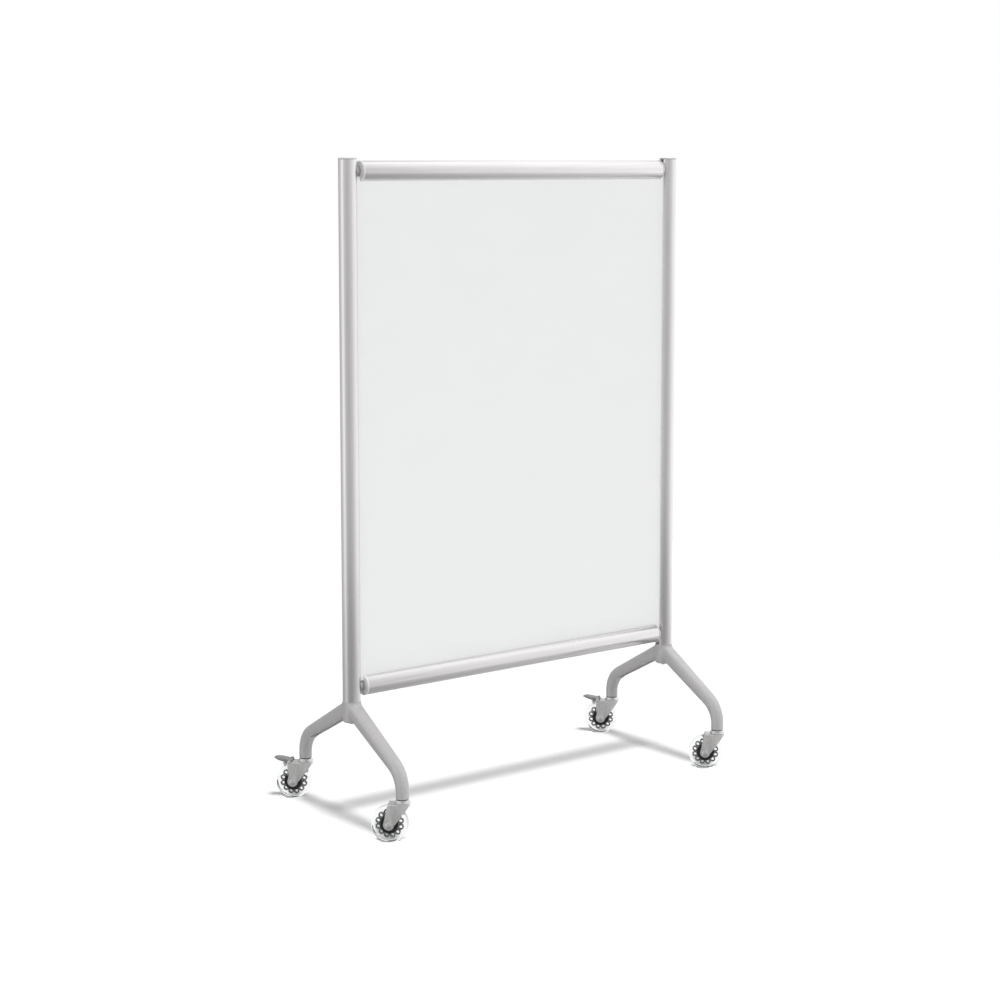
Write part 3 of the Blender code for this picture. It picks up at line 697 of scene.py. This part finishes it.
    def mesh(self):
        """The finished casting: smooth all over, with flat ends, its bores and its channels."""
        remesh = ("REMESH", {"mode": "VOXEL", "voxel_size": BASE_VOXEL, "use_smooth_shade": True})
        fine = modified(self.blank(), remesh)
        bm = bmesh.new()
        bm.from_mesh(fine)
        for _ in range(RELAX_ROUNDS):
            bmesh.ops.smooth_vert(bm, verts=bm.verts[:], factor=0.5,
                                  use_axis_x=True, use_axis_y=True, use_axis_z=True)
            points = np.array([vert.co for vert in bm.verts])
            for _ in range(FIT_STEPS):
                slope = self.slope(points)
                step = self.field(points)[:, None] * slope / (slope ** 2).sum(1)[:, None].clip(0.05)
                points -= np.clip(step, -0.002, 0.002)
            for vert, point in zip(bm.verts, points):
                vert.co = point
        cuts = (((0, 0, self.top), (0, 0, 1)), ((0, 0, self.leg_low), (0, 0, -1)))
        for place, outward in cuts:
            loop = bmesh.ops.bisect_plane(bm, geom=bm.verts[:] + bm.edges[:] + bm.faces[:],
                                          plane_co=place, plane_no=outward, clear_outer=True)
            edges = [item for item in loop["geom_cut"] if isinstance(item, bmesh.types.BMEdge)]
            bmesh.ops.holes_fill(bm, edges=edges)
        casting = finished(bm)
        bores = [prism([circle(SOCKET_BORE, 48, (0, y))], self.leg_low - 0.01, self.leg_low + 0.034)
                 for y in (-self.foot_y, self.foot_y)]
        bolt = prism([circle(BOLT_BORE, 32)], self.low - 0.01, self.top + 0.01)
        rear = self.channel()
        return combined(casting, "DIFFERENCE", bolt, rear, turned_back(rear), *bores)


def bolt_mesh(seat, head_radius, head_height, radius, top):
    """A button-head screw with a hexagon socket, pointing up."""
    dome = [(head_radius * math.sin(a), seat - head_height * math.cos(a))
            for a in (math.radians(15 * step) for step in range(2, 6))]
    socket = 0.0022
    profile = [(0, seat - head_height)] + dome + [(head_radius, seat - 0.0004), (head_radius, seat),
                                                  (radius, seat), (radius, top - 0.001),
                                                  (radius - 0.001, top), (0, top)]
    hexagon = prism([circle(socket, 6)], seat - head_height - 0.01, seat - head_height + 0.0026)
    return combined(turned(profile, 48), "DIFFERENCE", hexagon)


def make_bases():
    """A base and its bolt under each post."""
    low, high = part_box("left_base")
    post_low, post_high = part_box("left_post")
    collar_radius = (post_high.y - post_low.y) / 2
    stem_y = middle("left_rear_caster_stem").y - middle("left_base").y
    bolt_low, bolt_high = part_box("left_base_bolt")
    head_radius = (bolt_high.x - bolt_low.x) / 2
    casting = BaseShape(stem_y, collar_radius, COLLAR_BOTTOM, high.z, low.z).mesh()
    seat = COLLAR_BOTTOM - GAP
    bolt = bolt_mesh(seat, head_radius, seat - bolt_low.z, BOLT_BORE - GAP, bolt_high.z)
    for side in SIDES:
        centre = middle(side + "_base")
        place = Matrix.Translation((centre.x, centre.y, 0))
        add(f"{side}_base_casting", casting, "base", "root", [side + "_base"], place)
        add(f"{side}_base_screw", bolt, "fastener", "root", [side + "_base_bolt"], place)


# ---- casters, in a frame with +X along the trail and the swivel on Z ------------------
def swivel_head_mesh(low, high, radius):
    """The dust cover over the ball race: a lipped skirt, a step and a rounded top."""
    crown = arc((radius - 0.0048, high - 0.0024), 0.0024, 0, 90, 6)
    profile = [(STEM_BORE, low), (radius - 0.0008, low), (radius, low + 0.0006), (radius, low + 0.0024),
               (radius - 0.0006, low + 0.0030), (radius - 0.0020, low + 0.0032)]
    return turned(profile + crown + [(STEM_BORE, high)], 96, hollow=True)


def folded_section(half_width, top, bend, bottom, steps):
    """A section across the fork, points (y, z), with rounded upper corners."""
    right = arc((half_width - bend, top - bend), bend, 0, 90, steps)
    left = arc((bend - half_width, top - bend), bend, 90, 180, steps)
    return [(half_width, bottom)] + right + left + [(-half_width, bottom)]


def along_x(outline, low, high):
    """A bar along X whose section is given by points (y, z)."""
    bar = prism([outline], low, high)
    bar.transform(Matrix(((0, 0, 1, 0), (1, 0, 0, 0), (0, 1, 0, 0), (0, 0, 0, 1))))
    return bar


def nosed_plan(half_width, nose):
    """Plan of the fork: flat sides that fold inwards to a round nose under the stem."""
    radius = nose + NOSE_CENTRE
    to_fold = Vector((NOSE_START - NOSE_CENTRE, half_width))
    start = math.degrees(math.atan2(to_fold.y, to_fold.x) + math.acos(radius / to_fold.length))
    front = arc((NOSE_CENTRE, 0), radius, start, 360 - start, 24)
    rear = [(NOSE_START, -half_width), (BEHIND_FORK, -half_width), (BEHIND_FORK, half_width)]
    return [(NOSE_START, half_width)] + front + rear


def fork_mesh(axle, head_radius, pin):
    """Crown and cheeks of one drawn plate; pin is the pedal pin's (x, z), or None."""
    thick = FORK_OUTER - FORK_INNER
    front = [(-head_radius, CROWN_TOP), (-head_radius, CROWN_BOTTOM - 0.0016), (-0.0138, 0.0742)]
    lower = [(0.0012, 0.0530)]
    outline = arc(axle, AXLE_BOSS, 188, 372, 40) + [(CROWN_REAR, CROWN_TOP)] + front + lower
    blank = side_cut(outline, FORK_OUTER)
    plan = prism([nosed_plan(FORK_OUTER, head_radius)], -0.01, 0.1)
    plate = folded_section(FORK_OUTER, CROWN_TOP, FORK_BEND, 0.0, 8)
    body = combined(blank, "INTERSECT", plan, along_x(plate, -0.05, 0.08))
    if pin:
        tab = arc(pin, EAR_RADIUS, -30, 150, 24) + [(CROWN_REAR - 0.001, CROWN_TOP - 0.006),
                                                    (axle[0] + AXLE_BOSS * 0.95, axle[1] + 0.012)]
        body = combined(body, "UNION", side_cut(tab, FORK_OUTER))
    inside = prism([nosed_plan(FORK_INNER, head_radius - thick)], -0.02, 0.12)
    throat_bend = FORK_BEND - (CROWN_TOP - CROWN_BOTTOM)
    space = folded_section(FORK_INNER, CROWN_BOTTOM, throat_bend, -0.01, 6)
    throat = combined(along_x(space, -0.05, 0.08), "INTERSECT", inside)
    behind_crown = prism([rectangle(CROWN_REAR, BEHIND_FORK, -FORK_INNER, FORK_INNER)], -0.01, 0.1)
    stem_hole = prism([circle(STEM_BORE, 48)], 0.07, 0.09)
    axle_hole = side_cut(circle(AXLE_BORE, 40, axle), 0.03)
    cuts = [throat, behind_crown, stem_hole, axle_hole]
    if pin:
        cuts.append(side_cut(circle(PIN_BORE, 24, pin), 0.03))
    return bevelled(combined(body, "DIFFERENCE", *cuts), CASTER_EDGE, 2, 45)


def faces_for_painted_shade(mesh):
    """Which faces of the fork look into the space between its cheeks or up at the crown; these get the darker
    zinc, which is painted shade.
    """
    inwards = []
    for face in mesh.polygons:
        towards = (face.center.x - NOSE_INSIDE) * face.normal.x + face.center.y * face.normal.y
        under_crown = face.normal.z < -0.5 and abs(face.center.z - CROWN_BOTTOM) < 0.0006
        inwards.append(towards < -0.002 or under_crown)
    return inwards


def riveted_pin(radius, head_radius, head_height, sides):
    """A pin through both cheeks, with a domed and dimpled head at each end, along Y."""
    seat = FORK_OUTER + GAP
    end = seat + head_height
    dimple = head_radius * 0.30
    dome = [(head_radius * math.sin(a), seat + head_height * math.cos(a))
            for a in (math.radians(angle) for angle in (30, 45, 60, 75, 90))]
    half = [(0, end - 0.0007), (dimple * 0.8, end - 0.0007), (dimple, end - 0.0002)] + dome + [(radius, seat)]
    profile = half + [(point[0], -point[1]) for point in reversed(half)]
    return along_y(turned(profile, sides))


def petal_outline(steps=14):
    """The scalloped edge of the wheel core."""
    pitch = math.tau / PETALS
    half_chord = PETAL_RING * math.sin(pitch / 2)
    cusp = PETAL_RING * math.cos(pitch / 2) + math.sqrt(PETAL_RADIUS ** 2 - half_chord ** 2)
    across = math.atan2(cusp * math.sin(pitch / 2), cusp * math.cos(pitch / 2) - PETAL_RING)
    points = []
    for petal in range(PETALS):
        turn = Matrix.Rotation((petal + 0.5) * pitch, 2)
        for step in range(steps):
            bulge = -across + 2 * across * step / steps
            x = PETAL_RING + PETAL_RADIUS * math.cos(bulge)
            points.append(tuple(turn @ Vector((x, PETAL_RADIUS * math.sin(bulge)))))
    return points


def wheel_core_mesh(half_width):
    """Hub with a ring of looped petals, each with a round hole right through."""
    holes = []
    for petal in range(PETALS):
        angle = (petal + 0.5) * math.tau / PETALS
        centre = (PETAL_HOLE_RING * math.cos(angle), PETAL_HOLE_RING * math.sin(angle))
        holes.append(circle(PETAL_HOLE, 24, centre))
    ring = prism([petal_outline()] + holes, -PETAL_HALF_WIDTH, PETAL_HALF_WIDTH)
    dish = HUB_RADIUS * 0.86
    boss = BUSH_BORE + 0.0028
    face = half_width - HUB_DISH
    half = [(BUSH_BORE, half_width), (boss, half_width), (boss + 0.0010, face), (dish - 0.0008, face),
            (dish, half_width - 0.0002), (HUB_RADIUS - 0.0006, half_width - 0.0002),
            (HUB_RADIUS, half_width - 0.0008)]
    hub = turned(half + [(radius, -z) for radius, z in reversed(half)], 96, hollow=True)
    bore = prism([circle(BUSH_BORE + 0.004, 96)], -0.02, 0.02)
    ring = combined(ring, "DIFFERENCE", bore)
    return along_y(bevelled(combined(ring, "UNION", hub), CASTER_EDGE, 2, 50))


def tyre_mesh(radius, half_width):
    """A clear ring moulded round the petals, with rounded shoulders and a flat tread."""
    bore = HUB_RADIUS + GAP
    shoulder = radius - TYRE_SHOULDER[0]
    tread_half = half_width - TYRE_SHOULDER[1]
    half = [(bore, half_width - 0.0014), (bore + 0.0008, half_width - 0.0008)]
    for step in range(13):
        a = math.radians(90 * step / 12)
        half.append((shoulder + (radius - shoulder) * math.sin(a),
                     tread_half + (half_width - tread_half) * math.cos(a)))
    profile = half + [(reach, -y) for reach, y in reversed(half)]
    return along_y(turned(profile, TYRE_SIDES, hollow=True))


def pedal_outline(length, rise):
    """Side view of the pedal from its pin: barrel, underside, pointed tip and ribbed top."""
    tip = Vector((length * math.cos(rise), length * math.sin(rise)))
    underside = [(0.0050, -0.0026), (0.0130, 0.0004), (0.024, 0.0030), (tip.x - 0.003, tip.y + 0.0004)]
    point = arc((tip.x - 0.0006, tip.y + 0.0016), 0.0008, -80, 80, 6)
    front, back = Vector((0.0155, 0.0062)), Vector((tip.x - 0.007, tip.y + 0.0030))
    top = [tuple(back)]
    for rib in range(PEDAL_RIBS):
        middle_x, middle_z = back.lerp(front, (rib + 0.5) / PEDAL_RIBS)
        top += [(middle_x + 0.0009, middle_z), (middle_x + 0.0005, middle_z + 0.0005),
                (middle_x - 0.0005, middle_z + 0.0005), (middle_x - 0.0009, middle_z)]
    return arc((0, 0), PEDAL_BARREL, 95, 300, 28) + underside + point + top + [tuple(front), (0.008, 0.0054)]


def pedal_mesh(length, width, rise):
    """A foot plate with a barrel on the pin and ribs across its top, rounded to a blunt point."""
    blank = side_cut(pedal_outline(length, rise), width / 2)
    root = FORK_INNER - FLANGE_GAP - FLANGE_THICK - GAP
    wide = width / 2
    straight = 0.015
    reach = length * math.cos(rise) + 0.0008 - straight
    nose = [(straight + reach * x, wide * y) for x, y in arc((0, 0), 1.0, -90, 90, 36)]
    plan = [(-0.01, -root), (PEDAL_SHOULDER, -root), (PEDAL_SHOULDER + 0.001, 0.001 - wide)] + nose
    plan += [(PEDAL_SHOULDER + 0.001, wide - 0.001), (PEDAL_SHOULDER, root), (-0.01, root)]
    body = combined(blank, "INTERSECT", prism([plan], -0.02, 0.03))
    bore = side_cut(circle(PIN_BORE, 24), 0.03)
    return bevelled(combined(body, "DIFFERENCE", bore), CASTER_EDGE, 2, 40)


def pedal_bracket_mesh():
    """Zinc plates beside the pedal's root that carry the brake shoe, a bar across the tyre."""
    outer = FORK_INNER - FLANGE_GAP
    inner = outer - FLANGE_THICK
    outline = arc((0, 0), 0.0040, 100, 270, 20) + [(0.0052, -0.0060), (0.0084, -0.0104)]
    outline += arc((0.0094, -0.0092), 0.0015, 230, 330, 5)
    outline += [(0.0138, -0.0036), (0.0150, 0.0000), (0.0128, -0.0004), (0.0052, -0.0034)]
    plates = side_cut(outline, outer)
    clearing = side_cut(rectangle(-0.01, 0.03, -0.02, 0.02), inner)
    bar = side_cut([(0.0075, -0.0056), (0.0110, -0.0050), (0.0130, -0.0036), (0.0122, -0.0022),
                    (0.0105, -0.0032), (0.0075, -0.0038)], inner + FLANGE_THICK / 2)
    bore = side_cut(circle(PIN_BORE, 24), 0.03)
    hollow = combined(plates, "DIFFERENCE", clearing)
    return bevelled(combined(combined(hollow, "UNION", bar), "DIFFERENCE", bore), 0.0002, 1, 45)


def caster_place(corner):
    """Where a caster stands: its origin on the floor under the swivel, and its heading."""
    swivel = Vector(JOINTS[corner + "_swivel"]["pos_m"])
    wheel = Vector(JOINTS[corner + "_wheel_spin"]["pos_m"])
    heading = math.atan2(wheel.y - swivel.y, wheel.x - swivel.x)
    return Matrix.Translation((swivel.x, swivel.y, 0)), Matrix.Rotation(heading, 4, "Z")


def add_to_caster(name, mesh, slot, body, nodes, corner, centre=(0, 0, 0)):
    """A piece of one caster, modelled about a centre given in the caster's own frame."""
    stand, heading = caster_place(corner)
    headed = mesh.copy()
    headed.transform(heading)
    place = stand @ Matrix.Translation(heading @ Vector(centre))
    return add(f"{corner}_{name}", headed, slot, body, [f"{corner}_{node}" for node in nodes], place)


def make_casters():
    """Four casters; the rear two have pedals."""
    stand, heading = caster_place("left_rear")
    rest = (stand @ heading).inverted()
    hub = rest @ Vector(JOINTS["left_rear_wheel_spin"]["pos_m"])
    hinge = rest @ Vector(JOINTS["left_rear_brake"]["pos_m"])
    low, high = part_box("left_rear_swivel_head")
    head_radius = (high.y - low.y) / 2
    head = swivel_head_mesh(low.z, high.z, head_radius)
    forks = {"front": fork_mesh((hub.x, hub.z), head_radius, None),
             "rear": fork_mesh((hub.x, hub.z), head_radius, (hinge.x, hinge.z))}
    painted_shade_faces = {end: faces_for_painted_shade(fork) for end, fork in forks.items()}
    axle = riveted_pin(AXLE_BORE - GAP, *AXLE_HEAD, 64)
    pin = riveted_pin(PIN_BORE - GAP, *PIN_HEAD, 32)
    core = wheel_core_mesh(TYRE_HALF_WIDTH)
    tyre = tyre_mesh(hub.z, TYRE_HALF_WIDTH)
    pedal = pedal_mesh(PEDAL_LENGTH, PEDAL_WIDTH, PEDAL_RISE)
    bracket = pedal_bracket_mesh()
    for side in SIDES:
        for end in ENDS:
            corner = f"{side}_{end}"
            swivel, wheel, foot = corner + "_swivel", corner + "_wheel", corner + "_pedal"
            add_to_caster("dust_cover", head, "caster_steel", "root", ["swivel_head"], corner)
            fork = add_to_caster("fork_plate", forks[end], "caster_steel", swivel, ["fork"], corner)
            # the faces inside the fork take the darker zinc: painted shade
            fork.data.materials.append(FORK_PAINTED_SHADE)
            fork.data.polygons.foreach_set("material_index", painted_shade_faces[end])
            add_to_caster("axle_rivet", axle, "pin_steel", swivel, ["axle"], corner, hub)
            add_to_caster("wheel_centre", core, "wheel_core", wheel, ["wheel_core"], corner, hub)
            clear = add_to_caster("clear_tyre", tyre, "tyre", wheel, ["tyre"], corner, hub)
            clear.visible_shadow = False
            if end == "rear":
                add_to_caster("pedal_rivet", pin, "pin_steel", swivel, ["pedal_pin"], corner, hinge)
                add_to_caster("foot_pedal", pedal, "pedal", foot, ["brake_pedal"], corner, hinge)
                add_to_caster("brake_bracket", bracket, "caster_steel", foot, [], corner, hinge)


def finish_carried_over():
    """The CAD nodes that stay shown: the panel's layers and the hidden inner pieces."""
    slots = {"panel_core": "panel_core", "front_writing_surface": "writing_surface",
             "rear_writing_surface": "writing_surface"}
    for side in SIDES:
        slots[side + "_post_plug"] = "fastener"
        for end in ENDS:
            corner = f"{side}_{end}"
            slots[corner + "_caster_socket"] = "socket"
            slots[corner + "_caster_stem"] = "pin_steel"
            slots[corner + "_wheel_bush"] = "pin_steel"
    for node, slot in slots.items():
        piece = frame["nodes"][node]
        for material_slot in piece.material_slots:
            material_slot.link = "OBJECT"
            material_slot.material = FINISHES[slot]


# ---- studio ---------------------------------------------------------------------------
def blended_ramp(tree, value, stops):
    """A smooth grey ramp through (position, brightness) stops."""
    ramp = tree.nodes.new("ShaderNodeValToRGB")
    ramp.color_ramp.interpolation = "EASE"
    elements = ramp.color_ramp.elements
    elements[0].position, elements[1].position = stops[0][0], stops[-1][0]
    for position, _ in stops[1:-1]:
        elements.new(position)
    for element, (_, grey) in zip(elements, stops):
        element.color = (grey, grey, grey, 1.0)
    tree.links.new(value, ramp.inputs["Fac"])
    return ramp.outputs["Color"]


def make_world():
    """A white room: plain white to the eye, soft and uneven where it lights and is reflected."""
    world = bpy.data.worlds.new("studio")
    bpy.context.scene.world = world
    world.use_nodes = True
    tree = world.node_tree
    tree.nodes.clear()

    def give(value, socket):
        """A number or a colour is set, another node's output is linked."""
        if isinstance(value, (int, float, tuple)):
            socket.default_value = value
        else:
            tree.links.new(value, socket)

    def math_node(operation, first, second):
        """The result of a sum or the like."""
        node = tree.nodes.new("ShaderNodeMath")
        node.operation = operation
        for socket, value in zip(node.inputs, (first, second)):
            give(value, socket)
        return node.outputs["Value"]

    def mixed(share, first, second, kind="MIX"):
        """Two colours mixed, or the second laid over the first in another way."""
        node = tree.nodes.new("ShaderNodeMix")
        node.data_type = "RGBA"
        node.blend_type = kind
        for name, value in (("Factor", share), ("A", first), ("B", second)):
            give(value, [s for s in node.inputs if s.name == name and s.enabled][0])
        return [s for s in node.outputs if s.enabled][0]

    turn = tree.nodes.new("ShaderNodeVectorRotate")
    turn.rotation_type = "Z_AXIS"
    turn.inputs["Angle"].default_value = WORLD_TURN
    tree.links.new(tree.nodes.new("ShaderNodeTexCoord").outputs["Generated"], turn.inputs["Vector"])
    parts = tree.nodes.new("ShaderNodeSeparateXYZ")
    tree.links.new(turn.outputs["Vector"], parts.inputs["Vector"])
    around = math_node("ARCTAN2", parts.outputs["Y"], parts.outputs["X"])
    around = math_node("ADD", math_node("DIVIDE", around, math.tau), 0.5)
    up = math_node("ADD", math_node("MULTIPLY", parts.outputs["Z"], 0.5), 0.5)
    mirror = mixed(1.0, blended_ramp(tree, around, MIRROR_AROUND),
                   blended_ramp(tree, up, MIRROR_UP), "MULTIPLY")
    light = mixed(1.0, blended_ramp(tree, around, LIGHT_AROUND), blended_ramp(tree, up, LIGHT_UP), "MULTIPLY")
    rays = tree.nodes.new("ShaderNodeLightPath")
    seen = math_node("MAXIMUM", rays.outputs["Is Camera Ray"], rays.outputs["Is Transmission Ray"])
    strengths = mixed(rays.outputs["Is Glossy Ray"], light, mirror)
    bright = mixed(1.0, strengths, (STUDIO, STUDIO, STUDIO, 1.0), "MULTIPLY")
    shown = mixed(seen, bright, (1.0, 1.0, 1.0, 1.0))
    background = tree.nodes.new("ShaderNodeBackground")
    tree.links.new(shown, background.inputs["Color"])
    output = tree.nodes.new("ShaderNodeOutputWorld")
    tree.links.new(background.outputs["Background"], output.inputs["Surface"])


def make_floor():
    """A white floor that catches the soft shadow under the stand."""
    bm = bmesh.new()
    bmesh.ops.create_circle(bm, cap_ends=True, segments=96, radius=FLOOR_RADIUS)
    floor = bpy.data.objects.new("studio_floor", finished(bm))
    finish = Finish("floor_paper", (0.86, 0.86, 0.86), 0.0, 0.9, Specular_IOR_Level=0.0)
    floor.data.materials.append(finish.tint(finish.noise(30, 2), 0.99, 1.0).material)
    floor.visible_glossy = False
    bpy.context.collection.objects.link(floor)


def make_lights():
    """One soft light overhead and a little to the front, which draws the bands of shadow."""
    lamp = bpy.data.lights.new("overhead", "SUN")
    lamp.energy = SUN
    lamp.angle = SUN_SPREAD
    overhead = bpy.data.objects.new("overhead", lamp)
    overhead.location = (0, 0, 3)
    overhead.rotation_euler = (SUN_TILT, 0, 0)
    overhead.visible_glossy = False
    bpy.context.collection.objects.link(overhead)


def cast_no_shadow():
    """In the photo only the bottom rail and the bases draw shadows on the floor."""
    above = [name for name in bpy.data.objects.keys() if name.startswith("top_") or "_post" in name]
    above += ["front_writing_surface", "rear_writing_surface", "panel_core"]
    for name in above:
        bpy.data.objects[name].visible_shadow = False


def make_camera():
    """The eye stands to the front and left of the board, a little above its top."""
    lens = bpy.data.cameras.new("camera")
    lens.lens = CAMERA_LENS
    lens.sensor_width = 36
    lens.shift_y = CAMERA_SHIFT
    camera = bpy.data.objects.new("camera", lens)
    stand = (middle("left_base") + middle("right_base")) / 2
    camera.location = Vector((stand.x, stand.y, 0)) + Vector(CAMERA_FROM_STAND)
    camera.rotation_euler = (math.pi / 2 - CAMERA_PITCH, 0, -CAMERA_YAW)
    bpy.context.collection.objects.link(camera)
    bpy.context.scene.camera = camera


make_posts()
make_rails()
make_bases()
make_casters()
finish_carried_over()
make_world()
make_floor()
make_lights()
make_camera()
cast_no_shadow()
bpy.context.scene.view_settings.view_transform = "Standard"
